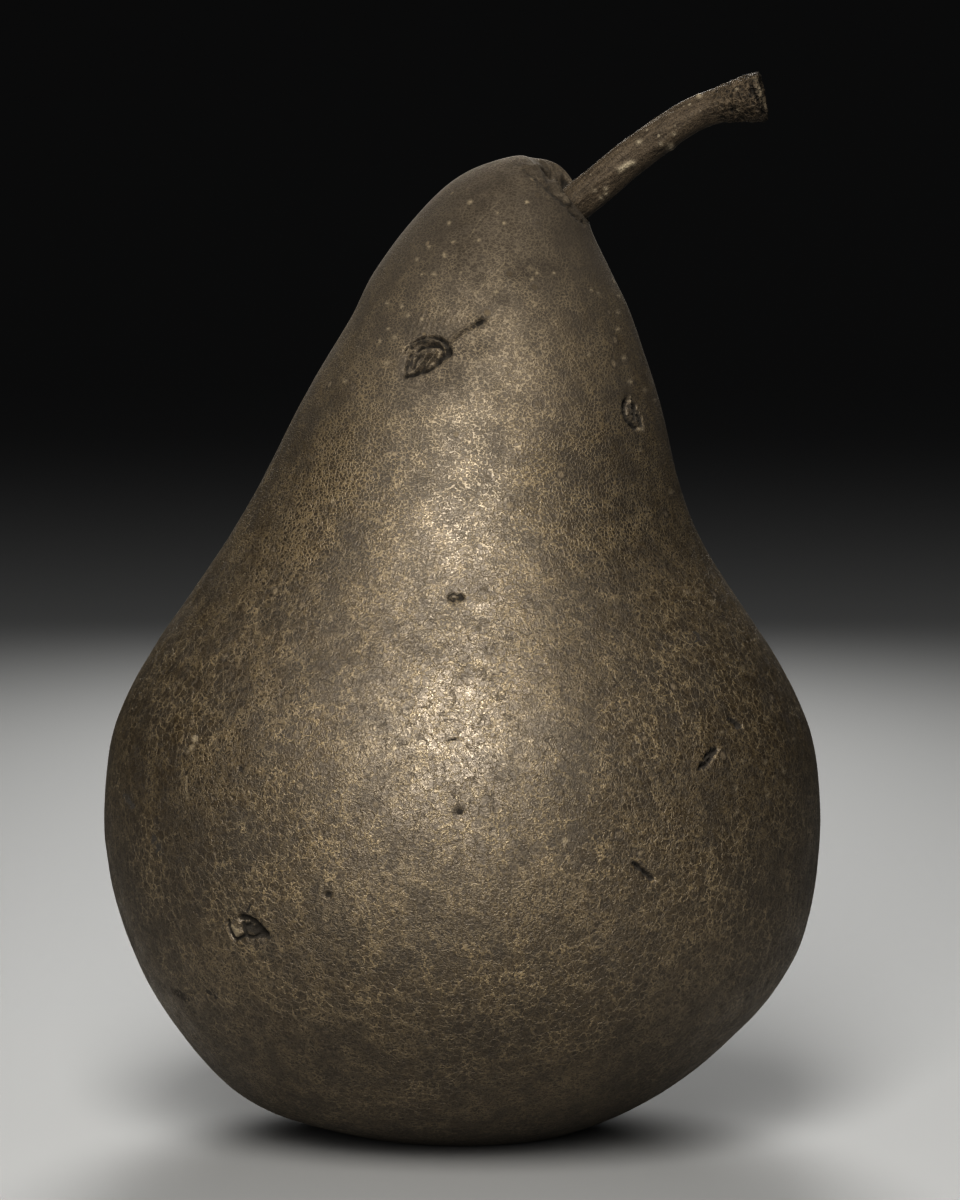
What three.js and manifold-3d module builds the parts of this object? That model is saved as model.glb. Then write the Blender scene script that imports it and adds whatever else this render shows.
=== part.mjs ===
// A pear standing on its blossom end: the fruit, its woody stem and the dried calyx under it.
// Millimetres, +Z up. The origin is on the surface it stands on, midway across the fruit's widest part.
// -Y is the front. The neck leans to +X, and the stem leaves it on that side.

import * as THREE from 'three';
import Module from 'manifold-3d';

// Driving dimensions
const segments = 72;        // points round each ring of the fruit
const stepsPerLevel = 2;    // rings from one outline level to the next
const roundness = 0.97;     // the fruit's front-to-back size beside its left-to-right size
const neckForward = 1.6;    // how far the top of the neck comes forward of the base
const lobeHeight = 0.35;    // soft swellings round the belly
const restOuter = 10.8;     // outer radius of the flat ring that the pear stands on
const restInner = 7.6;      // inner radius of that ring, where the calyx basin begins
const stemRadius = 1.8;     // at the middle of the stem
const footRadius = 2.0;     // where it leaves the fruit
const knobRadius = 2.6;     // at its broken end
const stemSides = 20;
const stemSteps = 3;        // rings from one point of the stem's middle line to the next
const jointGap = 0.3;       // clearance round the stem's root and the calyx tube
const socketDepth = 3.2;    // how deep the stem is set into the fruit
const calyxRadius = 2.0;    // the calyx tube
const calyxTop = 7.2;       // how high the calyx tube reaches into the fruit
const calyxMouth = 4.4;     // how low it comes, at the foot of the sepals
const calyxSides = 20;
const sepalCount = 5;
const sepalWidth = 2.6;
const sepalThickness = 0.7;
const sepalSides = 8;

// The fruit's left and right outline, level by level from the flat ring up over the shoulder of the neck
// and down into the stem's cavity: left x, left z, right x, right z, and how far the level rises behind.
const levels = [
  [-restOuter, 0, restOuter, 0, 0],
  [-14.6, 0.7, 13.4, 0.6, 0],
  [-21.8, 3.1, 19.2, 3.2, 0],
  [-26.8, 6.9, 24.8, 6.9, 0],
  [-31.6, 13.2, 31.6, 13.2, 0],
  [-34.9, 19.4, 35.6, 19.4, 0],
  [-37.3, 26.9, 37.6, 26.9, 0],
  [-38.0, 34.8, 38.0, 34.8, 0],
  [-37.0, 42.8, 36.9, 42.8, 0],
  [-33.5, 50.3, 33.4, 50.3, 0],
  [-29.1, 56.7, 29.2, 56.7, 0],
  [-24.9, 63.1, 25.2, 63.1, 0],
  [-21.2, 69.4, 22.8, 69.4, 0],
  [-16.8, 77.9, 20.8, 77.9, 0],
  [-11.9, 86.3, 18.0, 86.3, 0.1],
  [-8.8, 92.0, 15.5, 91.8, 0.3],
  [-3.8, 98.4, 14.2, 94.6, 1.1],
  [0.5, 101.9, 13.8, 95.5, 2.2],
  [5.7, 103.6, 13.6, 96.0, 2.9],    // rim of the cavity
  [7.6, 102.9, 13.5, 96.25, 2.1],
  [8.2, 101.2, 13.4, 96.4, 0.5],    // floor of the cavity
  [9.0, 100.9, 13.4, 96.5, 0.2],
  [9.7, 100.9, 13.38, 96.6, 0.1],   // collar round the stem's foot
];

// The stem's middle line: x, y, z and the radius there. The second point is where it leaves the fruit.
const stemLine = [
  [9.4, -1.6, 96.5, footRadius],
  [11.8, -1.6, 98.5, footRadius],
  [14.6, -1.65, 100.8, footRadius - 0.05],
  [17.7, -1.8, 103.4, stemRadius + 0.1],
  [23.5, -2.4, 107.4, stemRadius],
  [26.7, -2.8, 108.8, stemRadius + 0.05],
  [29.3, -3.2, 109.5, knobRadius - 0.25],
  [31.1, -3.5, 109.85, knobRadius],
];

// The broken end turns in over its rim to a shallow cup: distance past the end, share of the knob's radius.
const stemCup = [
  [0.4, 0.93],
  [0.45, 0.72],
  [-0.1, 0.5],
  [-0.35, 0.2],
  [-0.4, 0],
];

// The calyx basin under the fruit: radius and height of each ring, from the flat ring inwards.
const basin = [
  [restInner, 0],
  [6.9, 0.5],
  [5.9, 2.1],
  [4.6, 3.9],
  [3.3, 4.8],
  [calyxRadius + jointGap, 5.0],
  [calyxRadius + jointGap, calyxTop + jointGap],
];

// A sepal's middle line as radius from the pear's axis and height, with its share of the full width.
const sepalLine = [
  [1.2, 4.9, 0.8],
  [2.2, 4.0, 1.0],
  [3.2, 2.9, 0.9],
  [3.9, 1.9, 0.6],
  [4.1, 1.0, 0.2],
];

const upward = new THREE.Vector3(0, 0, 1);
const wasm = await Module();
wasm.setup();

// Catmull-Rom from row b to row c, with the rows before and after them as guides.
function blendRows(a, b, c, d, s) {
  return b.map((_, i) => 0.5 * (2 * b[i] + (c[i] - a[i]) * s
    + (2 * a[i] - 5 * b[i] + 4 * c[i] - d[i]) * s ** 2
    + (3 * b[i] - a[i] - 3 * c[i] + d[i]) * s ** 3));
}

// A closed solid from rings of equally many points, with one more point closing each end.
function solidFromRings(rings, firstPole, lastPole) {
  const count = rings[0].length;
  const points = [firstPole, ...rings.flat(), lastPole];
  const last = points.length - 1;
  const faces = [];
  for (let j = 0; j < count; j++) {
    const k = (j + 1) % count;
    faces.push(0, 1 + k, 1 + j);
    faces.push(last, last - count + j, last - count + k);
    for (let i = 0; i < rings.length - 1; i++) {
      const low = 1 + i * count;
      const high = low + count;
      faces.push(low + j, low + k, high + k, low + j, high + k, high + j);
    }
  }
  const geometry = new THREE.BufferGeometry().setFromPoints(points);
  geometry.setIndex(faces);
  return geometry;
}

// A ring of points round middle, square to direction. radius may be a function of the angle.
function roundRing(middle, direction, radius, sides) {
  const right = new THREE.Vector3(0, 1, 0).cross(direction).normalize();
  const back = direction.clone().cross(right);
  return Array.from({ length: sides }, (_, j) => {
    const angle = 2 * Math.PI * j / sides;
    const size = typeof radius === 'function' ? radius(angle) : radius;
    return middle.clone()
      .addScaledVector(right, size * Math.cos(angle))
      .addScaledVector(back, size * Math.sin(angle));
  });
}

// One ring of the fruit from a row of levels: an oval through the two outline points.
function fruitRing([leftX, leftZ, rightX, rightZ, lift]) {
  const middle = new THREE.Vector3((leftX + rightX) / 2, 0, (leftZ + rightZ) / 2);
  const across = new THREE.Vector3((rightX - leftX) / 2, 0, (rightZ - leftZ) / 2);
  const share = middle.z / 100;
  const depth = across.length() * roundness;
  const belly = Math.sin(Math.PI * Math.min(1, share)) ** 2;
  return Array.from({ length: segments }, (_, j) => {
    const angle = 2 * Math.PI * j / segments;
    const side = Math.sin(angle);
    const back = Math.max(0, side) ** 2 * (1 + 0.6 * Math.cos(angle));
    const lobe = Math.sin(3 * angle) - 0.6 * side * Math.sin(5 * angle + 0.9);
    const reach = 1 + lobeHeight * belly * lobe / depth;
    return new THREE.Vector3(
      middle.x + across.x * Math.cos(angle) * reach,
      -neckForward * share ** 3 + depth * side * reach,
      middle.z + across.z * Math.cos(angle) + lift * back);
  });
}

const stemPoints = stemLine.map(([x, y, z]) => new THREE.Vector3(x, y, z));
const stemCurve = new THREE.CatmullRomCurve3(stemPoints);
const stemFoot = stemPoints[1];
const stemLeaves = stemFoot.clone().sub(stemPoints[0]).normalize();

function fruit() {
  const rings = [...basin].reverse()
    .map(([radius, height]) => roundRing(new THREE.Vector3(0, 0, height), upward, radius, segments));
  for (let i = 0; i < levels.length - 1; i++) {
    const before = levels[i - 1] ?? [-restInner, 0, restInner, 0, 0];
    const after = levels[i + 2] ?? levels[i + 1];
    for (let step = 0; step < stepsPerLevel; step++) {
      rings.push(fruitRing(blendRows(before, levels[i], levels[i + 1], after, step / stepsPerLevel)));
    }
  }
  rings.push(fruitRing(levels.at(-1)));
  // The socket runs down beside the stem's root and ends in a shallow cone.
  for (const down of [0, socketDepth]) {
    const middle = stemFoot.clone().addScaledVector(stemLeaves, -down);
    rings.push(roundRing(middle, stemLeaves, footRadius + jointGap + 0.1, segments));
  }
  const bottom = stemFoot.clone().addScaledVector(stemLeaves, -socketDepth - jointGap);
  return solidFromRings(rings, new THREE.Vector3(0, 0, calyxTop + 2 * jointGap), bottom);
}

function stem() {
  const rings = [];
  const last = stemLine.length - 1;
  for (let i = 0; i <= last * stemSteps; i++) {
    const place = i / (last * stemSteps);
    const low = Math.min(last - 1, Math.floor(place * last));
    const ease = THREE.MathUtils.smoothstep(place * last - low, 0, 1);
    const radius = THREE.MathUtils.lerp(stemLine[low][3], stemLine[low + 1][3], ease);
    const wart = (angle) => radius
      * (1 + 0.03 * Math.sin(3 * angle + 7 * place) + 0.02 * Math.sin(5 * angle - 11 * place));
    rings.push(roundRing(stemCurve.getPoint(place), stemCurve.getTangent(place), wart, stemSides));
  }
  const end = stemCurve.getPoint(1);
  const direction = stemCurve.getTangent(1);
  for (const [out, share] of stemCup.slice(0, -1)) {
    const rim = (angle) => knobRadius * share * (1 + 0.05 * Math.sin(2 * angle + 0.7));
    rings.push(roundRing(end.clone().addScaledVector(direction, out), direction, rim, stemSides));
  }
  const root = stemPoints[0].clone().addScaledVector(stemCurve.getTangent(0), -0.05);
  return solidFromRings(rings, root, end.clone().addScaledVector(direction, stemCup.at(-1)[0]));
}

// A closed geometry as a solid that can be joined to others, and back.
function toSolid(geometry) {
  return new wasm.Manifold(new wasm.Mesh({
    numProp: 3,
    vertProperties: new Float32Array(geometry.attributes.position.array),
    triVerts: new Uint32Array(geometry.index.array),
  }));
}

function toGeometry(solid) {
  const mesh = solid.getMesh();
  const geometry = new THREE.BufferGeometry();
  geometry.setAttribute('position', new THREE.BufferAttribute(new Float32Array(mesh.vertProperties), 3));
  geometry.setIndex(new THREE.BufferAttribute(new Uint32Array(mesh.triVerts), 1));
  return geometry;
}

// One dried sepal: a thin blade that leaves the tube's mouth, leans outwards and narrows to a tip.
function sepal(turn) {
  const rings = sepalLine.map(([radius, height, share], i) => {
    const [r0, z0] = sepalLine[Math.max(0, i - 1)];
    const [r1, z1] = sepalLine[Math.min(sepalLine.length - 1, i + 1)];
    const along = new THREE.Vector3(r1 - r0, 0, z1 - z0).normalize();
    const middle = new THREE.Vector3(radius, 0, height);
    return roundRing(middle, along, 1, sepalSides).map((point) => {
      const offset = point.sub(middle);
      const across = offset.y * sepalWidth / 2 * share;
      offset.setY(0).multiplyScalar(sepalThickness / 2);
      return offset.add(middle).setY(across);
    });
  });
  const centre = (ring) => ring.reduce((sum, point) => sum.add(point), new THREE.Vector3())
    .divideScalar(sepalSides);
  return solidFromRings(rings, centre(rings[0]), centre(rings.at(-1))).rotateZ(turn);
}

function calyx() {
  const downward = upward.clone().negate();
  const tube = [[calyxTop, 0.8], [calyxTop - 0.3, 1], [calyxMouth + 0.8, 1], [calyxMouth, 0.9]]
    .map(([height, share]) => roundRing(
      new THREE.Vector3(0, 0, height), downward, calyxRadius * share, calyxSides));
  const top = new THREE.Vector3(0, 0, calyxTop);
  const mouth = new THREE.Vector3(0, 0, calyxMouth + 0.2);
  let joined = toSolid(solidFromRings(tube, top, mouth));
  for (let i = 0; i < sepalCount; i++) {
    joined = joined.add(toSolid(sepal(2 * Math.PI * (i + 0.3) / sepalCount)));
  }
  return toGeometry(joined);
}

function piece(name, geometry, color, roughness) {
  geometry.computeVertexNormals();
  const mesh = new THREE.Mesh(geometry, new THREE.MeshStandardMaterial({ color, roughness, metalness: 0 }));
  mesh.name = name;
  return mesh;
}

const pear = new THREE.Group();
pear.add(piece('fruit', fruit(), 0x7c6a48, 0.6));
pear.add(piece('stem', stem(), 0x5b4a34, 0.8));
pear.add(piece('calyx', calyx(), 0x3f3225, 0.9));

export default pear;
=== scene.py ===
import math

import bmesh
import bpy
import numpy as np
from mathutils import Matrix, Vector, noise


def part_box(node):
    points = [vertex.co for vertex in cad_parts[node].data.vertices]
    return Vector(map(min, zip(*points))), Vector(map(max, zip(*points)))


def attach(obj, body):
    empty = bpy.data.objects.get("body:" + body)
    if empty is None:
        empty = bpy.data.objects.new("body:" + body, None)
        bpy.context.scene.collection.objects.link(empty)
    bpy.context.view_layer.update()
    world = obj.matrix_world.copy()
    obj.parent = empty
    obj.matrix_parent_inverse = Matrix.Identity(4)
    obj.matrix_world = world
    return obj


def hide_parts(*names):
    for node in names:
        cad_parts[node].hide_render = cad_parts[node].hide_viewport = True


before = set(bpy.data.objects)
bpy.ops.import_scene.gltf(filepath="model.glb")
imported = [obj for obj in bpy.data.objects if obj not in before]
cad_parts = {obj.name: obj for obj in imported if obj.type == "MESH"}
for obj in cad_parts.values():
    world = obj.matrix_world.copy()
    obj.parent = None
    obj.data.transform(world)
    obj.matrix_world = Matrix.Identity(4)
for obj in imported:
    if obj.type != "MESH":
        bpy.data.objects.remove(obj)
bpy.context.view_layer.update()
boxLow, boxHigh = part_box("fruit")
mm = (boxHigh[0] - boxLow[0]) / 76  # metres to one millimetre of the outline, which is 76 across
print("frame loaded")

# The camera. Pixel places below are given in its picture, from the top left corner.
view = {
    "picture": (960, 1200),
    "aim": (0.0019, 0.0, 0.0566),
    "rise": 5.0,  # degrees above level
    "distance": 0.65,
    "lens": 184.0,
    "sensor": 36.0,  # its height
}


def placeCamera():
    rise = math.radians(view["rise"])
    data = bpy.data.cameras.new("camera")
    data.sensor_fit = "VERTICAL"
    data.sensor_height = view["sensor"]
    data.lens = view["lens"]
    camera = bpy.data.objects.new("camera", data)
    camera.location = Vector(view["aim"]) + view["distance"] * Vector((0, -math.cos(rise), math.sin(rise)))
    camera.rotation_euler = (math.pi / 2 - rise, 0, 0)
    bpy.context.scene.collection.objects.link(camera)
    bpy.context.scene.camera = camera
    return camera


def pixelsOf(points):
    # where points in metres fall in the picture
    rise = math.radians(view["rise"])
    forward = np.array((0, math.cos(rise), -math.sin(rise)))
    up = np.array((0, math.sin(rise), math.cos(rise)))
    away = points - np.array(camera.location)
    wide, tall = view["picture"]
    scale = tall * view["lens"] / view["sensor"] / (away @ forward)
    return np.stack((wide / 2 + scale * away[:, 0], tall / 2 - scale * (away @ up)), axis=1)


camera = placeCamera()


# Mesh helpers

def blendRows(a, b, c, d, s):
    # Catmull-Rom from row b to row c
    a, b, c, d = (np.array(row, float) for row in (a, b, c, d))
    return 0.5 * (2 * b + (c - a) * s + (2 * a - 5 * b + 4 * c - d) * s**2 + (3 * b - a - 3 * c + d) * s**3)


def smoothRows(rows, steps, before=None):
    # steps is how many new rows go from each row to the next
    full = [before or rows[0], *rows, rows[-1]]
    made = []
    for i, count in enumerate(steps):
        for k in range(count):
            made.append(blendRows(*full[i:i + 4], k / count))
    made.append(np.array(rows[-1], float))
    return made


def ramp(value, low, high):
    # 0 at low and 1 at high, with soft ends
    t = np.clip((value - low) / (high - low), 0, 1)
    return t * t * (3 - 2 * t)


def roughness(points, size, seed, octaves):
    # soft noise from about -1 to 1 at each point. size and points are in the same unit.
    shift = Vector((seed, 1.7 * seed, -0.6 * seed))
    return np.array([noise.fractal(Vector(p) / size + shift, 0.9, 2.1, octaves) for p in points])


def ringsToMesh(name, rings, firstPole, lastPole):
    # a closed skin over rings of equally many points, in millimetres
    count = len(rings[0])
    points = np.vstack([firstPole, *rings, lastPole]) * mm
    last = len(points) - 1
    faces = []
    for j in range(count):
        k = (j + 1) % count
        faces.append((0, 1 + k, 1 + j))
        faces.append((last, last - count + j, last - count + k))
        for i in range(len(rings) - 1):
            low = 1 + i * count
            faces.append((low + j, low + k, low + count + k, low + count + j))
    mesh = bpy.data.meshes.new(name)
    mesh.from_pydata(points.tolist(), [], faces)
    mesh.shade_smooth()
    piece = bpy.data.objects.new(name, mesh)
    bpy.context.scene.collection.objects.link(piece)
    return piece


def getPoints(mesh):
    flat = np.empty(len(mesh.vertices) * 3)
    mesh.vertices.foreach_get("co", flat)
    return flat.reshape(-1, 3)


def getNormals(mesh):
    flat = np.empty(len(mesh.vertices) * 3)
    mesh.vertex_normals.foreach_get("vector", flat)
    return flat.reshape(-1, 3)


def setPoints(mesh, points):
    mesh.vertices.foreach_set("co", points.ravel())
    mesh.update()


def setLayer(mesh, name, values):
    kind = "FLOAT_VECTOR" if values.ndim == 2 else "FLOAT"
    layer = mesh.attributes.new(name, kind, "POINT")
    layer.data.foreach_set("vector" if values.ndim == 2 else "value", values.ravel().astype(np.float32))


# Strokes: scars, creases and spots, drawn as lines of picture pixels. wide is in pixels, high is how far the
# surface rises in millimetres, and dark and pale say how much of each colour it takes.
strokes = {
    "grainSize": 0.45,  # of the raggedness along a stroke, in millimetres
    "grainMost": 1.6,
    "faintest": 0.003,  # share of a stroke below which it is left out
    "facing": (0.0, 0.15),  # strokes fade out where the surface turns away from the camera
    "margin": 3,  # pixels round a stroke where faces are cut smaller
}


def stroke(path, wide, high, dark, pale=0.0, uneven=0.35):
    return {"path": np.array(path, float), "wide": wide, "high": high, "dark": dark, "pale": pale,
            "uneven": uneven}


def shade(path, wide, tone):
    # a broad patch, lighter or darker
    return {"path": np.array(path, float), "wide": wide, "tone": tone}


def spot(x, y, wide, high=0.0, dark=0.0, pale=0.56):
    return stroke([(x - 0.2, y), (x + 0.2, y)], wide, high, dark, pale, 0)


def strokeShare(pixels, path, wide):
    # 1 on the line, falling off softly to its sides and ends
    nearest = np.full(len(pixels), 1e9)
    for start, end in zip(path[:-1], path[1:]):
        along = end - start
        t = np.clip((pixels - start) @ along / (along @ along), 0, 1)
        gap = np.linalg.norm(pixels - start - t[:, None] * along, axis=1)
        nearest = np.minimum(nearest, gap)
    return np.exp(-(2 * nearest / wide) ** 2)


def refineNear(piece, marks, cuts, reach, smallest):
    # cuts the faces near the strokes into smaller ones, but none below smallest, in square millimetres
    mesh = piece.data
    count = len(mesh.polygons)
    centres, normals, areas = np.empty(count * 3), np.empty(count * 3), np.empty(count)
    mesh.polygons.foreach_get("center", centres)
    mesh.polygons.foreach_get("normal", normals)
    mesh.polygons.foreach_get("area", areas)
    centres, normals = centres.reshape(-1, 3), normals.reshape(-1, 3)
    chosen = np.zeros(count, bool)
    pixels = pixelsOf(centres)
    for item in marks:
        wide = 2 * (item["wide"] * reach + strokes["margin"])
        chosen |= strokeShare(pixels, item["path"], wide) > math.exp(-1)
    chosen &= np.einsum("ij,ij->i", normals, np.array(camera.location) - centres) > 0
    chosen &= areas > smallest * mm**2
    work = bmesh.new()
    work.from_mesh(mesh)
    work.faces.ensure_lookup_table()
    edges = {edge for i in np.flatnonzero(chosen) for edge in work.faces[i].edges}
    bmesh.ops.subdivide_edges(work, edges=list(edges), cuts=cuts, use_grid_fill=True)
    work.to_mesh(mesh)
    work.free()


def drawStrokes(piece, marks):
    # raises or sinks the surface along each stroke, and stores where it is dark or pale
    mesh = piece.data
    points, normals = getPoints(mesh), getNormals(mesh)
    towards = np.einsum("ij,ij->i", normals, np.array(camera.location) - points) / view["distance"]
    facing = ramp(towards, *strokes["facing"])
    pixels = pixelsOf(points)
    rise, dark, pale = np.zeros((3, len(points)))
    for item in marks:
        share = strokeShare(pixels, item["path"], item["wide"]) * facing
        near = np.flatnonzero(share > strokes["faintest"])
        grain = 1 + item["uneven"] * roughness(points[near] / mm, strokes["grainSize"], item["wide"], 2)
        share = share[near] * np.clip(grain, 0, strokes["grainMost"])
        rise[near] += item["high"] * share  # crossing strokes add up
        dark[near] = np.maximum(dark[near], item["dark"] * share)
        pale[near] = np.maximum(pale[near], item["pale"] * share)
    setPoints(mesh, points + normals * rise[:, None] * mm)
    setLayer(mesh, "markDark", np.clip(dark, 0, 1))
    setLayer(mesh, "markPale", np.clip(pale, 0, 1))


# The fruit

fruit = {
    # outline in millimetres from the flat ring it stands on up into the stem's cavity:
    # left x, left z, right x, right z, rise behind
    "levels": [
        (-10.8, 0, 10.8, 0, 0),
        (-14.6, 0.7, 13.4, 0.6, 0),
        (-21.8, 3.1, 19.2, 3.2, 0),
        (-26.8, 6.9, 24.8, 6.9, 0),
        (-31.6, 13.2, 31.6, 13.2, 0),
        (-34.9, 19.4, 35.6, 19.4, 0),
        (-37.3, 26.9, 37.6, 26.9, 0),
        (-38.0, 34.8, 38.0, 34.8, 0),
        (-37.0, 42.8, 36.9, 42.8, 0),
        (-33.5, 50.3, 33.4, 50.3, 0),
        (-29.1, 56.7, 29.2, 56.7, 0),
        (-24.9, 63.1, 25.2, 63.1, 0),
        (-21.2, 69.4, 22.8, 69.4, 0),
        (-16.8, 77.9, 20.8, 77.9, 0),
        (-11.9, 86.3, 18.0, 86.3, 0.1),
        (-8.8, 92.0, 15.5, 91.8, 0.3),
        (-3.8, 98.4, 14.2, 94.6, 1.1),
        (0.5, 101.9, 13.8, 95.5, 2.2),
        (5.7, 103.6, 13.6, 96.0, 2.9),
        (7.6, 102.9, 13.5, 96.25, 2.1),
        (8.2, 101.2, 13.4, 96.4, 0.5),
        (9.0, 100.9, 13.4, 96.5, 0.2),
        (9.7, 100.9, 13.38, 96.6, 0.1),
    ],
    "rimLevel": 17,  # from here on the rings are closer together
    "roundness": 0.97,  # front to back beside left to right
    "neckForward": 1.6,
    "lobeHeight": 0.35,
    "around": 300,
    "ringGap": 0.88,
    "rimGap": 0.26,
    "basin": [(2.3, 5.0), (3.3, 4.8), (4.6, 3.9), (5.9, 2.1), (6.9, 0.5), (7.6, 0)],  # radius, height
    "basinFurrow": 0.3,
    "calyxSocketRadius": 2.3,
    "calyxSocketHeights": (7.5, 6.2),
    "socketDome": 0.3,  # how far a socket's middle lies beyond its edge
    "socketRadius": 2.4,
    "socketDepth": 3.2,
    # how uneven the skin is: height, size, seed, octaves
    "uneven": [(0.16, 13, 3.0, 2), (0.05, 4, 8.0, 2)],
    "unevenFrom": (1.0, 9.0),  # heights between which it grows in at the foot
    "unevenTo": (93, 99),  # and fades out at the rim
    "toneMiddle": 0.45,
    "tones": [(0.45, 7, 11.0, 3), (0.35, 2.2, 17.0, 2)],  # clouds: strength, size, seed, octaves
    "netLeast": 0.45,  # share of the coarse net between its patches
    "netFade": 0.75,  # how much of it is lost up the neck
    "netFades": (50, 72),
    "deepCuts": {"cuts": 5, "reach": 0.7, "smallest": 0.05},
    "deepWidth": 8,  # narrower strokes than this get the finest faces
    "plainCuts": {"cuts": 2, "reach": 0.6, "smallest": 0.08},
}

stem = {
    # middle line in millimetres: x, y, z, radius. It leaves the fruit at the second point.
    "line": [
        (9.4, -1.6, 96.5, 2.0),
        (11.8, -1.6, 98.5, 2.0),
        (14.6, -1.65, 100.8, 1.95),
        (17.7, -1.8, 103.4, 1.9),
        (23.5, -2.4, 107.4, 1.8),
        (26.7, -2.8, 108.8, 1.85),
        (29.3, -3.2, 109.5, 2.35),
        (31.1, -3.5, 109.85, 2.6),
    ],
    "cup": [(0.4, 0.93), (0.45, 0.72), (-0.1, 0.5), (-0.35, 0.2), (-0.4, 0)],
    "around": 72,
    "steps": 26,  # rings from one point of the line to the next
    "fibre": 0.06,  # height of the long fibres
    "fibreSize": 0.55,
    "fibreStretch": 0.22,
    "wart": 0.22,  # height of the knob's warts
    "wartSize": 0.7,
    "wartStretch": 0.8,
    "flareStarts": 6.5,  # from the end
    "flareFull": 2.5,
    "rootClear": (3.0, 4.2),  # the root keeps its clearance in the socket up to here
}


def fruitRing(row, around):
    leftX, leftZ, rightX, rightZ, lift = row
    middleX, middleZ = (leftX + rightX) / 2, (leftZ + rightZ) / 2
    acrossX, acrossZ = (rightX - leftX) / 2, (rightZ - leftZ) / 2
    share = middleZ / 100
    depth = math.hypot(acrossX, acrossZ) * fruit["roundness"]
    belly = math.sin(math.pi * min(1, share)) ** 2
    angle = np.arange(around) * 2 * math.pi / around
    side = np.sin(angle)
    back = np.maximum(0, side) ** 2 * (1 + 0.6 * np.cos(angle))
    lobe = np.sin(3 * angle) - 0.6 * side * np.sin(5 * angle + 0.9)
    reach = 1 + fruit["lobeHeight"] * belly * lobe / depth
    return np.stack((
        middleX + acrossX * np.cos(angle) * reach,
        -fruit["neckForward"] * share**3 + depth * side * reach,
        middleZ + acrossZ * np.cos(angle) + lift * back,
    ), axis=1)


def roundRing(middle, direction, radius, around):
    # radius is a number or one number for each point
    direction = np.array(direction, float) / np.linalg.norm(direction)
    right = np.cross((0, 1, 0), direction)
    right /= np.linalg.norm(right)
    back = np.cross(direction, right)
    angle = np.arange(around) * 2 * math.pi / around
    radius = np.broadcast_to(radius, around)[:, None]
    return np.array(middle) + radius * (np.cos(angle)[:, None] * right + np.sin(angle)[:, None] * back)


def fruitRings():
    around = fruit["around"]
    angle = np.arange(around) * 2 * math.pi / around
    rings = [roundRing((0, 0, height), (0, 0, 1), fruit["calyxSocketRadius"], around)
             for height in fruit["calyxSocketHeights"]]
    basin = smoothRows(fruit["basin"], [5] * (len(fruit["basin"]) - 1))
    for radius, height in basin:
        furrow = fruit["basinFurrow"] * ramp(radius, 2.6, 4.4) * (1 - ramp(radius, 5.8, 7.4))
        wave = furrow * (np.sin(5 * angle + 0.6) + 0.5 * np.sin(11 * angle + radius))
        ring = roundRing((0, 0, height), (0, 0, 1), radius, around)
        ring[:, 2] += wave
        rings.append(ring)
    levels = fruit["levels"]
    steps = []
    for i in range(len(levels) - 1):
        here, after = levels[i], levels[i + 1]
        length = max(math.dist(here[0:2], after[0:2]), math.dist(here[2:4], after[2:4]))
        gap = fruit["ringGap"] if i < fruit["rimLevel"] else fruit["rimGap"]
        steps.append(max(2, round(length / gap)))
    inner = fruit["basin"][-1][0]
    rows = smoothRows(levels, steps, before=(-inner, 0, inner, 0, 0))
    rings += [fruitRing(row, around) for row in rows]
    foot, root = np.array(stem["line"][1][:3]), np.array(stem["line"][0][:3])
    leaves = (foot - root) / np.linalg.norm(foot - root)
    for down in (0, 0.4, 1.2, fruit["socketDepth"]):
        rings.append(roundRing(foot - down * leaves, leaves, fruit["socketRadius"], around))
    dome = fruit["socketDome"]
    return rings, (0, 0, fruit["calyxSocketHeights"][0] + dome), foot - (fruit["socketDepth"] + dome) * leaves


# Scars and spots of the skin
flapScar = [
    stroke([(405, 350), (411, 345), (418, 340), (426, 337), (434, 337), (441, 339)],
           2.4, -0.55, 0.95, 0, 0.9),
    stroke([(440, 339), (446, 343), (449, 349), (450, 354)], 3.6, -0.65, 1.0, 0, 0.9),
    stroke([(417, 350), (421, 347), (427, 346), (434, 345), (440, 346), (443, 350), (442, 356)],
           2.2, -0.5, 0.95, 0, 1.0),
    stroke([(409, 347), (417, 343), (425, 341), (433, 341), (440, 342), (446, 348)], 2.6, 0.4, 0.0, 0.2, 0.8),
    stroke([(406, 352), (409, 348), (414, 346)], 2.6, 0.2, 0.0, 0.2),
    stroke([(412, 347), (419, 343), (427, 341), (436, 342), (443, 346)], 6.0, 0.0, 0.38, 0, 1.2),
    stroke([(411, 352), (408, 357), (407, 362), (406, 368), (405, 373), (406, 377)], 3.0, -0.3, 0.5, 0, 0.8),
    stroke([(411, 353), (410, 360), (409, 367)], 6.0, -0.1, 0.4, 0, 1.2),
    stroke([(405, 376), (413, 375), (420, 372), (428, 370), (434, 366), (439, 362)], 2.8, -0.6, 0.9, 0, 0.7),
    stroke([(438, 361), (443, 357), (447, 355), (448, 350)], 5.0, -0.6, 0.95, 0, 0.7),
    stroke([(417, 371), (420, 366), (424, 359), (428, 353)], 3.0, 0.5, 0.0, 0.25),
    stroke([(426, 366), (431, 360), (436, 353)], 2.8, 0.5, 0.0, 0.22),
    stroke([(420, 355), (424, 354), (427, 351)], 3.0, 0.3, 0.0, 0.2),
    stroke([(413, 367), (415, 360), (419, 354)], 2.6, -0.45, 0.7),
    stroke([(422, 370), (427, 362), (432, 354)], 2.2, -0.5, 0.9),
    stroke([(420, 358), (430, 353)], 24.0, -0.3, 0.3, 0, 0.8),
]
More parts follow.
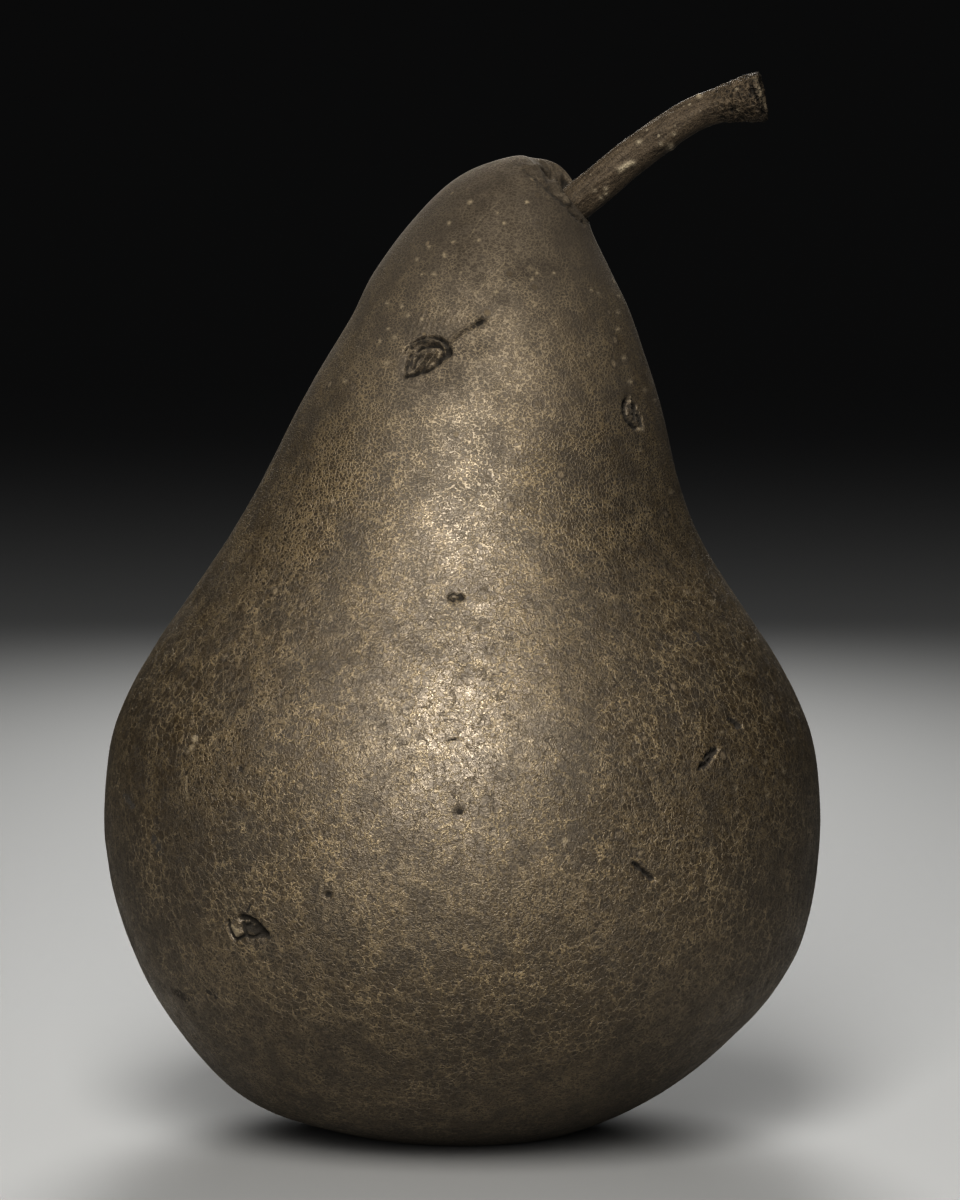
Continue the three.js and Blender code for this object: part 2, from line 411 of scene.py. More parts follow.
crease = [
    stroke([(450, 344), (456, 338), (463, 333), (471, 329)], 1.5, -0.22, 0.45),
    stroke([(448, 341), (455, 334), (463, 329), (470, 325)], 2.6, 0.2, 0.0, 0.2),
    stroke([(474, 326), (479, 324), (484, 320)], 5.0, -0.3, 0.5, 0, 1.4),
    stroke([(477, 323), (481, 321)], 3.2, -0.4, 1.0),
    stroke([(478, 329), (482, 326), (488, 324)], 2.4, 0.14, 0.0, 0.1),
]
# fine wrinkles: a fan rising from the crease, and level ones beyond its end
for i in range(13):
    x, y = 408 + 6 * i, 337 - 1.6 * i + (i % 3)
    crease.append(stroke([(x, y), (x + 3, y - 8), (x + 6 + i / 3, y - 17), (x + 11 + i / 2, y - 25 - i % 4)],
                         2.2, 0.05, 0, 0.05, 1.4))
for i in range(8):
    x, y = 486 + i % 3, 296 + 5 * i
    crease.append(stroke([(x, y + 2), (x + 10, y - 1), (x + 22, y - 1), (x + 36, y + 2)],
                         2.0, 0.02, 0, 0.04, 1.4))
sideCrack = [
    stroke([(627, 401), (625, 407), (626, 413), (628, 419), (632, 424), (637, 428)], 4.4, -0.7, 1.0, 0, 0.9),
    stroke([(635, 405), (637, 411), (640, 417), (642, 425)], 3.6, -0.45, 0.95, 0, 1.1),
    stroke([(630, 397), (631, 404), (632, 412)], 2.4, 0.2, 0, 0.35, 0.8),
    stroke([(630, 402), (635, 418)], 9.0, -0.2, 0.5, 0, 1.2),
]
eyePit = [
    stroke([(449, 595), (453, 593), (457, 595), (461, 594), (464, 597), (461, 600), (456, 599), (453, 601),
            (449, 599), (448, 597), (449, 595)], 1.8, -0.3, 0.7),
    stroke([(460, 597), (463, 597)], 3.2, -0.35, 0.9),
    stroke([(452, 597), (456, 597)], 3.6, 0.16, 0.0, 0.3),
]
flakedScar = [
    stroke([(241, 918), (247, 919), (253, 922), (258, 927), (262, 932), (265, 936)], 5.8, -0.8, 1.0),
    stroke([(228, 921), (229, 927), (231, 933), (234, 938)], 2.8, -0.4, 0.9),
    stroke([(236, 940), (244, 936), (253, 938), (260, 935)], 3.2, -0.5, 1.0),
    stroke([(242, 924), (243, 930), (245, 934)], 3.2, -0.45, 1.0),
    stroke([(267, 938), (269, 938)], 3.6, -0.1, 1.0),
    stroke([(250, 905), (247, 912)], 3.0, -0.1, 0.7),
    stroke([(232, 927), (236, 930), (238, 935)], 6.5, 0.1, 0.0, 0.8, 0.6),
    stroke([(246, 926), (254, 930), (262, 935)], 8.0, -0.5, 1.0, 0, 0.8),
    stroke([(245, 929), (250, 931), (256, 933)], 2.2, 0.2, 0.0, 0.35),
]
smallMarks = [
    stroke([(700, 769), (703, 765), (706, 760), (708, 755), (712, 751), (714, 747)], 3.6, -0.45, 1.0, 0, 1.3),
    stroke([(704, 767), (709, 762), (713, 756), (717, 749)], 3.4, -0.45, 1.0, 0, 1.5),
    stroke([(703, 766), (709, 757), (714, 751)], 7.0, -0.1, 0.7, 0, 1.2),
    stroke([(448, 740), (455, 739), (463, 739)], 2.0, -0.14, 0.5, 0, 0.9),
    stroke([(441, 737), (444, 738)], 2.6, -0.06, 0.4),
    stroke([(634, 863), (640, 867), (645, 872), (650, 876), (654, 879)], 3.0, -0.4, 1.0, 0, 1.1),
    stroke([(637, 867), (644, 873), (651, 879)], 4.0, -0.2, 0.9, 0, 1.4),
    stroke([(730, 718), (735, 721), (741, 726)], 3.6, -0.4, 1.0, 0, 1.1),
    stroke([(732, 721), (738, 726)], 5.6, -0.2, 0.9, 0, 1.4),
    stroke([(694, 632), (698, 634), (699, 639), (695, 642)], 3.0, -0.05, 0.8, 0, 1.0),
    stroke([(187, 776), (186, 786), (188, 798)], 3.0, 0.02, 0, 0.5),
    stroke([(126, 796), (132, 806)], 7.0, -0.02, 0.6, 0, 1.4),
    stroke([(154, 838), (160, 852)], 9.0, -0.02, 0.6, 0, 1.4),
    stroke([(176, 992), (186, 1000)], 8.0, -0.02, 0.5, 0, 1.4),
    stroke([(208, 990), (216, 997)], 7.0, -0.02, 0.5, 0, 1.4),
    spot(328, 895, 5.6, -0.4, 1.0, 0),
    spot(460, 812, 7.0, -0.25, 0.8, 0),
    spot(460, 812, 3.0, 0.2, 0, 0.3),
    spot(240, 768, 3.4, -0.3, 1.0, 0),
    stroke([(178, 852), (183, 868), (190, 884)], 13.0, -0.03, 0.3, 0, 0.9),
    stroke([(505, 262), (497, 272), (485, 283), (475, 296)], 2.4, 0.04, 0, 0.35),
    stroke([(501, 199), (489, 212), (479, 221), (470, 237)], 2.2, 0.03, 0, 0.3),
    stroke([(492, 233), (500, 222), (506, 212)], 1.8, 0.02, 0, 0.2),
]
paleSpots = [
    spot(429, 247, 5), spot(444, 254, 5), spot(417, 259, 5), spot(434, 274, 6), spot(387, 303, 5),
    spot(402, 306, 6), spot(422, 319, 5), spot(497, 292, 5), spot(380, 341, 5), spot(387, 363, 6),
    spot(395, 337, 5), spot(389, 424, 5), spot(470, 202, 6.5, pale=0.6), spot(527, 202, 5, pale=0.7),
    spot(498, 213, 4), spot(449, 223, 6), spot(453, 242, 4.5), spot(445, 256, 5), spot(504, 223, 4.5),
    spot(479, 240, 4.5), spot(537, 273, 5), spot(554, 273, 4.5), spot(532, 279, 5), spot(408, 315, 6),
    spot(345, 381, 6), spot(333, 501, 6), spot(618, 312, 6), spot(618, 329, 6), spot(624, 358, 7),
    spot(630, 382, 7), spot(642, 429, 6), spot(645, 390, 6), spot(671, 492, 7), spot(687, 592, 7),
    spot(697, 591, 6), spot(713, 602, 7), spot(195, 739, 8, pale=0.85), spot(192, 747, 6, pale=0.75),
    spot(188, 752, 5, pale=0.65), spot(565, 841, 8, pale=0.75), spot(547, 889, 6),
    spot(499, 855, 8, pale=0.4), spot(743, 761, 6), spot(765, 762, 6), spot(784, 772, 6), spot(809, 831, 7),
    spot(699, 592, 5), spot(725, 655, 6), spot(743, 667, 6), spot(705, 726, 4), spot(722, 732, 6),
    spot(748, 724, 4), spot(767, 718, 4), spot(728, 756, 4), spot(736, 788, 7), spot(737, 812, 5),
    spot(767, 795, 5), spot(794, 739, 5), spot(797, 709, 5), spot(809, 797, 5), spot(249, 779, 4),
    spot(619, 296, 5), spot(591, 290, 4.5), spot(598, 293, 4), spot(589, 354, 5), spot(640, 450, 5),
    spot(655, 400, 5), spot(612, 270, 4), spot(422, 274, 4), spot(461, 273, 4), spot(388, 329, 4),
    *(spot(762 + 7 * (i % 4) + 2 * (i % 3), 757 + 4 * i, 3 + i % 3) for i in range(11)),
    spot(579, 984, 7, pale=0.35), spot(660, 984, 8, pale=0.4), spot(342, 744, 9, pale=0.35),
]
# folds and ridges round the stem's cavity, with painted shade inside it
cavityFoldsAndShade = [
    stroke([(524, 166), (530, 167), (537, 166), (543, 170), (549, 174)], 3.6, 0.22, 0.0, 0.14, 0.8),
    stroke([(541, 161), (548, 165), (553, 170)], 3.0, 0.12, 0.0, 0.08, 0.8),
    stroke([(560, 176), (555, 177), (553, 181), (554, 186), (558, 190), (562, 196), (568, 204)],
           4.6, 0.42, 0.0, 0.18, 0.7),
    stroke([(558, 180), (560, 184)], 5.0, 0.2, 0.0, 0.12, 0.8),
    # painted shade inside the cavity, with no rise
    stroke([(515, 160), (530, 172), (545, 186), (556, 200)], 22.0, 0.0, 0.26, 0, 1.0),
    stroke([(564, 182), (567, 186), (565, 190)], 5.0, -0.7, 1.0),
    stroke([(546, 176), (549, 183), (550, 189)], 3.0, -0.3, 0.5, 0, 0.6),
    # the front lip's groove, sunk and darkened with painted shade
    stroke([(528, 172), (537, 179), (546, 187), (553, 194), (561, 201), (569, 209), (577, 217), (584, 224)],
           4.6, -0.3, 0.42, 0, 0.7),
]

skinStrokes = [*flapScar, *crease, *sideCrack, *eyePit, *flakedScar, *smallMarks, *paleSpots, *cavityFoldsAndShade]
# patches of tone, mostly the skin's own; the dark one on the dome is painted shade, the light one on the neck
# painted highlight
shades = [
    shade([(350, 530), (335, 590), (325, 690)], 34, -0.35), shade([(175, 840), (190, 895)], 56, -0.8),
    shade([(333, 890), (338, 910)], 30, -0.35), shade([(478, 270), (486, 282)], 30, -0.35),
    shade([(415, 392), (450, 385)], 36, -0.3), shade([(475, 1035), (515, 1045)], 40, -0.35),
    shade([(572, 710), (577, 800)], 26, -0.3), shade([(700, 670), (708, 700)], 34, -0.3),
    shade([(315, 1050), (330, 1070)], 46, -0.3), shade([(690, 790), (712, 840)], 30, -0.25),
    shade([(385, 470), (390, 540)], 30, -0.25), shade([(590, 470), (600, 620)], 40, -0.25),
    shade([(240, 800), (236, 880)], 30, -0.3), shade([(400, 945), (455, 955)], 34, -0.25),
    shade([(330, 490), (300, 545)], 44, 0.4), shade([(190, 725), (198, 750)], 30, 0.5),
    shade([(275, 660), (262, 705)], 34, 0.35), shade([(330, 735), (352, 770)], 46, 0.35),
    shade([(305, 840), (318, 860)], 36, 0.3), shade([(722, 665), (735, 700)], 34, 0.4),
    shade([(690, 590), (716, 604)], 26, 0.4), shade([(765, 755), (782, 800)], 34, 0.45),
    shade([(545, 880), (570, 900)], 44, 0.35), shade([(625, 690), (645, 720)], 40, 0.3),
    shade([(560, 1055), (585, 1070)], 40, 0.35), shade([(205, 950), (222, 1000)], 44, 0.4),
    shade([(640, 365), (654, 440)], 22, 0.45), shade([(700, 865), (708, 890)], 30, 0.35),
    shade([(490, 230), (512, 255)], 50, 0.2), shade([(145, 820), (160, 900)], 30, 0.4),
    shade([(410, 610), (400, 660)], 40, 0.2), shade([(500, 600), (530, 640)], 44, 0.2),
    # the second patch here is painted shade on the dome round the stem's cavity
    shade([(470, 650), (470, 760)], 80, 0.2), shade([(490, 142), (560, 165)], 34, -0.5),
    # painted highlight down the right of the neck
    shade([(516, 360), (524, 470)], 50, 0.4),
]


def makeFruit():
    rings, bottomPole, topPole = fruitRings()
    piece = ringsToMesh("pear_fruit", rings, bottomPole, topPole)
    points, normals = getPoints(piece.data), getNormals(piece.data)
    inMm = points / mm
    height = inMm[:, 2]
    outside = ramp(height, *fruit["unevenFrom"]) * (1 - ramp(height, *fruit["unevenTo"]))
    uneven = sum(high * roughness(inMm, size, seed, octaves) for high, size, seed, octaves in fruit["uneven"])
    setPoints(piece.data, points + normals * (uneven * outside)[:, None] * mm)
    marks = [*flapScar, *crease, *sideCrack, *eyePit, *flakedScar, *smallMarks]
    deep = [mark for mark in marks if mark["high"] and mark["wide"] < fruit["deepWidth"]]
    refineNear(piece, deep, **fruit["deepCuts"])
    refineNear(piece, [*marks, *paleSpots], **fruit["plainCuts"])
    drawStrokes(piece, skinStrokes)
    points = getPoints(piece.data)
    inMm, pixels = points / mm, pixelsOf(points)
    tone = np.full(len(points), fruit["toneMiddle"])
    for strength, size, seed, octaves in fruit["tones"]:
        tone += strength * roughness(inMm, size, seed, octaves)
    front = ramp(-points[:, 1], 0, 0.01)  # shades stay off the back
    # the broad patches add the skin's own tone, and painted shade and painted highlight
    for item in shades:
        tone += item["tone"] * strokeShare(pixels, item["path"], item["wide"]) * front
    setLayer(piece.data, "tone", np.clip(tone, 0, 1))
    # the coarse net comes in patches, is broken here and there, and fades up the neck
    patches = ramp(roughness(inMm, 9, 23.0, 2), -0.5, 0.2)
    unbroken = ramp(roughness(inMm, 1.6, 29.0, 2), -0.9, 0.0)
    net = (fruit["netLeast"] + (1 - fruit["netLeast"]) * patches) * unbroken
    setLayer(piece.data, "netShare", net * (1 - fruit["netFade"] * ramp(inMm[:, 2], *fruit["netFades"])))
    return piece


# The stem

stemStrokes = [
    stroke([(620, 170), (624, 167), (630, 163), (633, 163)], 5.5, 0.12, 0, 0.9),
    spot(606, 189, 4, 0.08, 0, 0.8), spot(606, 194, 4, 0.08, 0, 0.7), spot(601, 198, 4, 0.08, 0, 0.8),
    spot(671, 147, 7, 0.25, 0, 0.8), spot(639, 142, 5, 0.08, 0, 0.8), spot(661, 144, 4, 0.08, 0, 0.7),
    spot(674, 134, 3.5, 0.06, 0, 0.7), spot(595, 191, 4, 0.06, 0, 0.5), spot(699, 96, 5, 0.15, 0, 0.7),
    stroke([(655, 152), (663, 150), (668, 146)], 3, -0.06, 0.4), spot(606, 184, 4, -0.05, 0.4, 0),
    stroke([(750, 83), (752, 91), (757, 98), (760, 105), (764, 112)], 3.4, -0.3, 0.9),
    spot(752, 90, 5, -0.3, 1.0, 0), spot(732, 110, 4.5, -0.25, 0.9, 0), spot(722, 118, 4, -0.2, 0.7, 0),
    spot(741, 118, 3.5, -0.2, 0.7, 0), spot(738, 96, 3, -0.15, 0.6, 0), spot(746, 106, 3, -0.15, 0.7, 0),
    stroke([(755, 78), (761, 92), (765, 107)], 3.6, 0.05, 0, 0.45),
]


def makeStem():
    around = stem["around"]
    line = smoothRows(stem["line"], [stem["steps"]] * (len(stem["line"]) - 1))
    middles = np.array([row[:3] for row in line])
    directions = np.gradient(middles, axis=0)
    directions /= np.linalg.norm(directions, axis=1)[:, None]
    lengths = np.concatenate(([0], np.cumsum(np.linalg.norm(np.diff(middles, axis=0), axis=1))))
    angle = np.arange(around) * 2 * math.pi / around
    rings, grain = [], []
    for row, middle, direction, length in zip(line, middles, directions, lengths):
        # slightly out of round, and turning along the stem
        outOfRound = 0.03 * np.sin(3 * angle + 0.3 * length) + 0.02 * np.sin(5 * angle - 0.4 * length)
        rings.append(roundRing(middle, direction, row[3] * (1 + outOfRound), around))
        along = np.full(around, length)
        grain.append(np.stack((row[3] * np.cos(angle), row[3] * np.sin(angle), along), axis=1))
    knob = line[-1][3]
    for out, share in smoothRows(stem["cup"][:-1], [5] * (len(stem["cup"]) - 2)):
        radius = knob * share * (1 + 0.05 * np.sin(2 * angle + 0.7))
        rings.append(roundRing(middles[-1] + out * directions[-1], directions[-1], radius, around))
        flat = np.full(around, lengths[-1] + out + 2 * (1 - share))
        grain.append(np.stack((knob * share * np.cos(angle), knob * share * np.sin(angle), flat), axis=1))
    grain = np.vstack([(0, 0, 0), *grain, (0, 0, lengths[-1] + 2)])
    lastPole = middles[-1] + stem["cup"][-1][0] * directions[-1]
    piece = ringsToMesh("pear_stem", rings, middles[0] - 0.05 * directions[0], lastPole)
    points, normals = getPoints(piece.data), getNormals(piece.data)
    length = grain[:, 2]
    fibres = roughness(grain * (1, 1, stem["fibreStretch"]), stem["fibreSize"], 2.0, 3)
    warts = np.abs(roughness(grain * (1, 1, stem["wartStretch"]), stem["wartSize"], 5.0, 3))
    flare = ramp(length, lengths[-1] - stem["flareStarts"], lengths[-1] - stem["flareFull"])
    clear = ramp(length, *stem["rootClear"])
    rise = clear * (stem["fibre"] * (1 - flare) * fibres + stem["wart"] * (0.15 + flare) * (warts - 0.25))
    setPoints(piece.data, points + normals * rise[:, None] * mm)
    setLayer(piece.data, "grain", grain)
    setLayer(piece.data, "flare", flare)
    drawStrokes(piece, stemStrokes)
    return piece


# The calyx

calyx = {
    "tubeRadius": 2.0,
    "tube": [(7.2, 0.8), (6.9, 1.0), (5.2, 1.0), (4.4, 0.9)],  # height, share of the radius
    "tubeHollow": [(4.5, 0.75), (4.9, 0.68), (5.1, 0.3)],
    "tubeAround": 48,
    "sepals": 5,
    "sepalAround": 28,
    "sepalWidth": 2.6,
    "sepalThickness": 0.55,
    "sepalLine": [(1.2, 4.9, 0.8), (2.2, 4.0, 1.0), (3.2, 2.9, 0.9), (3.9, 1.9, 0.6), (4.1, 1.0, 0.2)],
    "threads": 14,  # dried stamens inside the tube
    "threadTurn": 2.4,  # radians from one to the next
    "threadRing": (1.35, 5.0),  # radius and height where they start
    "threadEnd": 2.9,  # height of their ends
    "threadSize": 0.09,
    "threadKnob": 0.16,
    "threadSteps": 8,
}


def makeSepal(index):
    turn = 2 * math.pi * (index + 0.3) / calyx["sepals"]
    line = smoothRows(calyx["sepalLine"], [7] * (len(calyx["sepalLine"]) - 1))
    around = calyx["sepalAround"]
    angle = np.arange(around) * 2 * math.pi / around
    rings = []
    for i, (radius, height, share) in enumerate(line):
        before, after = line[max(0, i - 1)], line[min(len(line) - 1, i + 1)]
        slope = np.array((after[0] - before[0], after[1] - before[1]))
        slope /= np.linalg.norm(slope)
        across = np.cos(angle) * calyx["sepalWidth"] / 2 * share
        thick = np.sin(angle) * calyx["sepalThickness"] / 2 * (0.45 + 0.55 * np.cos(angle) ** 2)
        curl = 0.16 * across**2 / max(share, 0.3) + 0.07 * np.sin(5 * across + index + 3 * height)
        lift = thick + 0.8 * curl
        flat = np.stack((radius - slope[1] * lift, across, height + slope[0] * lift), axis=1)
        twist = turn + 0.05 * math.sin(2.3 * index + height)
        x = flat[:, 0] * math.cos(twist) - flat[:, 1] * math.sin(twist)
        y = flat[:, 0] * math.sin(twist) + flat[:, 1] * math.cos(twist)
        rings.append(np.stack((x, y, flat[:, 2]), axis=1))
    return ringsToMesh(f"sepal{index}", rings, rings[0].mean(axis=0), rings[-1].mean(axis=0))


def makeThread(index):
    turn = calyx["threadTurn"] * index
    radius, height = calyx["threadRing"]
    start = np.array((radius * math.cos(turn), radius * math.sin(turn), height))
    bend = 0.5 + 0.3 * math.sin(1.7 * index)
    tip = calyx["threadEnd"] + 0.5 * math.sin(index)
    end = np.array((bend * math.cos(turn + 0.8), bend * math.sin(turn + 0.8), tip))
    steps = calyx["threadSteps"]
    rings = []
    for i in range(steps + 1):
        share = i / steps
        middle = start + (end - start) * share + np.array((0, 0, 0.35 * math.sin(math.pi * share)))
        size = calyx["threadSize"] if share < 0.8 else calyx["threadKnob"]
        rings.append(roundRing(middle, end - start, size, 8))
    return ringsToMesh(f"thread{index}", rings, start, end)


def makeCalyx():
    around = calyx["tubeAround"]
    angle = np.arange(around) * 2 * math.pi / around
    rings = []
    for height, share in smoothRows(calyx["tube"], [4] * (len(calyx["tube"]) - 1)):
        radius = calyx["tubeRadius"] * share * (1 + 0.02 * np.sin(10 * angle))
        rings.append(roundRing((0, 0, height), (0, 0, -1), radius, around))
    for height, share in calyx["tubeHollow"]:
        rings.append(roundRing((0, 0, height), (0, 0, -1), calyx["tubeRadius"] * share, around))
    top, hollowTop = calyx["tube"][0][0], calyx["tubeHollow"][-1][0]
    tube = ringsToMesh("pear_calyx", rings, (0, 0, top), (0, 0, hollowTop))
    parts = [makeSepal(i) for i in range(calyx["sepals"])] + [makeThread(i) for i in range(calyx["threads"])]
    work = bmesh.new()
    work.from_mesh(tube.data)
    for part in parts:
        work.from_mesh(part.data)
        bpy.data.objects.remove(part)
    work.to_mesh(tube.data)
    work.free()
    tube.data.shade_smooth()
    return tube


# Material helpers

def addNode(tree, kind, inputs=None, **settings):
    node = tree.nodes.new("ShaderNode" + kind)
    for key, value in settings.items():
        setattr(node, key, value)
    for key, value in (inputs or {}).items():
        if isinstance(value, bpy.types.NodeSocket):
            tree.links.new(value, node.inputs[key])
        else:
            node.inputs[key].default_value = value
    return node


def newMaterial(name):
    material = bpy.data.materials.new(name)
    material.use_nodes = True
    return material, material.node_tree, material.node_tree.nodes["Principled BSDF"]


def calc(tree, operation, a, b):
    return addNode(tree, "Math", {0: a, 1: b}, operation=operation).outputs[0]


def total(tree, *terms):
    value = terms[0]
    for term in terms[1:]:
        value = calc(tree, "ADD", value, term)
    return value


def times(tree, *factors):
    value = factors[0]
    for factor in factors[1:]:
        value = calc(tree, "MULTIPLY", value, factor)
    return value


def spread(tree, value, low, high, toLow=0.0, toHigh=1.0):
    # low to high become toLow to toHigh, with soft ends
    return addNode(tree, "MapRange", {"Value": value, "From Min": low, "From Max": high, "To Min": toLow,
                                      "To Max": toHigh}, interpolation_type="SMOOTHSTEP").outputs["Result"]


def blendColor(tree, share, first, second):
    node = addNode(tree, "Mix", {"Factor": share}, data_type="RGBA")
    for socket, value in zip((node.inputs[6], node.inputs[7]), (first, second)):
        if isinstance(value, bpy.types.NodeSocket):
            tree.links.new(value, socket)
        else:
            socket.default_value = (*value, 1)
    return node.outputs[2]


def noiseAt(tree, place, perMm, detail, rough):
    return addNode(tree, "TexNoise", {"Vector": place, "Scale": perMm, "Detail": detail, "Roughness": rough})


def cellsAt(tree, place, perMm, feature="F1"):
    return addNode(tree, "TexVoronoi", {"Vector": place, "Scale": perMm}, feature=feature)


def shifted(tree, place, amount, perMm, detail=2.0, rough=0.5):
    # place moved about by noise, up to half of amount each way
    wander = noiseAt(tree, place, perMm, detail, rough).outputs["Color"]
    centred = addNode(tree, "VectorMath", {0: wander, 1: (0.5, 0.5, 0.5)}, operation="SUBTRACT").outputs[0]
    scaled = addNode(tree, "VectorMath", {0: centred, "Scale": amount}, operation="SCALE").outputs[0]
    return addNode(tree, "VectorMath", {0: place, 1: scaled}, operation="ADD").outputs[0]


def stretched(tree, place, factors):
    return addNode(tree, "VectorMath", {0: place, 1: factors}, operation="MULTIPLY").outputs[0]


def layerOf(tree, name):
    return addNode(tree, "Attribute", attribute_name=name)


# The skin's finish. Sizes are in millimetres and heights in thousandths of one.
skin = {
    "ground": (0.0145, 0.0088, 0.0036),
    "groundPale": (0.036, 0.024, 0.011),
    "net": (0.225, 0.178, 0.106),
    "lenticel": (0.15, 0.119, 0.076),
    "lenticelDull": (0.048, 0.036, 0.021),
    "scar": (0.006, 0.0045, 0.003),
    "cork": (0.25, 0.21, 0.145),
    "fineCell": 0.45,
    "coarseCell": 1.15,
    "lenticelGap": 2.7,
    "fineHeight": 32,
    "coarseHeight": 42,
    "grainHeight": 24,
    "roughPit": 0.56,  # between the lines of the nets
    "roughRidge": 0.4,  # on them
    "gloss": 1.75,  # refractive index
    "shine": 1.0,
    "shineTint": (1.0, 0.91, 0.79),
    "neckHeights": (48, 76),  # where the net tightens
    # the skin turns matt up the neck, and its colour takes painted shade there, more round the stem
    "dullHeights": (62, 90),  # where the skin turns matt
    "crownHeights": (86, 97),  # and darker round the stem
    "squashAbove": (68, 22.0, 0.45),  # height, softness, amount
    "squashBelow": (9, 6.0, 0.8),
    "dotRise": 24,
    "blemishDepth": 30,
}


def makeSkin():
    material, tree, shader = newMaterial("russet skin")
    position = addNode(tree, "TexCoord").outputs["Object"]
    place = addNode(tree, "VectorMath", {0: position, "Scale": 1 / mm}, operation="SCALE").outputs[0]
    axes = addNode(tree, "SeparateXYZ", {0: place}).outputs
    height = axes["Z"]
    # the net is squashed into level wrinkles up the neck and down at the foot
    squashes = []
    for facts, side in ((skin["squashAbove"], "SMOOTH_MAX"), (skin["squashBelow"], "SMOOTH_MIN")):
        level, softness, amount = facts
        beyond = addNode(tree, "Math", {0: calc(tree, "SUBTRACT", height, level), 1: 0.0, 2: softness},
                         operation=side).outputs[0]
        squashes.append(times(tree, beyond, amount))
    squash = total(tree, *squashes)
    neck = spread(tree, height, *skin["neckHeights"])
    mattAndShaded = spread(tree, height, *skin["dullHeights"])
    crown = spread(tree, height, *skin["crownHeights"])
    netPlace = addNode(tree, "CombineXYZ", {
        "X": axes["X"], "Y": axes["Y"], "Z": total(tree, height, squash)}).outputs[0]
    netPlace = shifted(tree, netPlace, spread(tree, neck, 0, 1, 1.5, 0.8), 1.35, 3.0, 0.62)

    # the two nets: a fine leathery one all over and a coarse one that comes and goes
    netShare = layerOf(tree, "netShare").outputs["Fac"]
    grain = noiseAt(tree, place, 4.6, 2.0, 0.7).outputs["Fac"]
    fineEdge = cellsAt(tree, netPlace, 1 / skin["fineCell"], "DISTANCE_TO_EDGE").outputs["Distance"]
    fine = times(tree, spread(tree, total(tree, fineEdge, times(tree, grain, 0.14)), 0.1, 0.26, 1, 0),
                 spread(tree, netShare, 0, 1, 1, 0.6), spread(tree, mattAndShaded, 0, 1, 1, 0.6))
    coarseEdge = cellsAt(tree, netPlace, 1 / skin["coarseCell"], "DISTANCE_TO_EDGE").outputs["Distance"]
    coarseLine = spread(tree, total(tree, coarseEdge, times(tree, grain, 0.05)), 0.04, 0.1, 1, 0)
    coarse = times(tree, coarseLine, netShare)

    # tones of the ground
    mottle = calc(tree, "SUBTRACT", noiseAt(tree, place, 0.45, 4.0, 0.68).outputs["Fac"], 0.5)
    # the tone layer: clouds and patches of the skin's own tone, with painted shade and painted highlight
    # among them
    cloudAndPaintedLight = layerOf(tree, "tone").outputs["Fac"]
    fromMiddle = calc(tree, "SUBTRACT", cloudAndPaintedLight, 0.5)
    patches = noiseAt(tree, place, 0.4, 4.0, 0.66).outputs["Fac"]
    patch = spread(tree, total(tree, patches, times(tree, fromMiddle, 0.2)), 0.34, 0.64, 0.4, 1.15)
    tone = total(tree, cloudAndPaintedLight, times(tree, mottle, 3.2), times(tree, calc(tree, "SUBTRACT", grain, 0.5), 1.3))
    color = blendColor(tree, tone, skin["ground"], skin["groundPale"])
    fineShare = times(tree, fine, patch, spread(tree, neck, 0, 1, 0.6, 0.75))
    color = blendColor(tree, fineShare, color, skin["net"])
    color = blendColor(tree, times(tree, coarse, patch, 0.85), color, skin["net"])
    # painted shade: the colour darkens towards the ground colour up the neck, and more round the stem
    darker = total(tree, times(tree, mattAndShaded, 0.2), times(tree, crown, 0.5))
    color = blendColor(tree, darker, color, skin["ground"])
    # small dark blemishes, matt and hollow
    freckles = noiseAt(tree, shifted(tree, place, 1.6, 1.1), 0.95, 3.0, 0.72).outputs["Fac"]
    blemish = times(tree, spread(tree, freckles, 0.57, 0.66), spread(tree, height, 52, 66, 1, 0.2))
    color = blendColor(tree, times(tree, blemish, 0.55), color, skin["ground"])

    # lenticels: matt dots, some pale and some hardly so
    dots = cellsAt(tree, place, 1 / skin["lenticelGap"])
    lot = addNode(tree, "SeparateColor", {0: dots.outputs["Color"]}).outputs
    dotSize = spread(tree, lot[0], 0.2, 1.0, 0.05, 0.17)
    fromDot = calc(tree, "DIVIDE", total(tree, dots.outputs["Distance"], times(tree, grain, 0.03)), dotSize)
    dot = spread(tree, fromDot, 0.5, 1.35, 1, 0)
    dotRim = calc(tree, "SUBTRACT", spread(tree, fromDot, 1.2, 1.9, 1, 0), dot)
    color = blendColor(tree, times(tree, dotRim, 0.6), color, skin["ground"])
    dotColor = blendColor(tree, spread(tree, lot[1], 0.2, 0.7), skin["lenticelDull"], skin["lenticel"])
    color = blendColor(tree, times(tree, dot, spread(tree, height, 30, 62, 0.5, 0.75)), color, dotColor)

    ragged = times(tree, calc(tree, "SUBTRACT", grain, 0.5), 0.6)
    markDark = spread(tree, total(tree, layerOf(tree, "markDark").outputs["Fac"], ragged), 0.22, 0.52)
    markPale = spread(tree, total(tree, layerOf(tree, "markPale").outputs["Fac"], ragged), 0.1, 0.9)
    color = blendColor(tree, markPale, color, skin["cork"])
    color = blendColor(tree, markDark, color, skin["scar"])
    tree.links.new(color, shader.inputs["Base Color"])

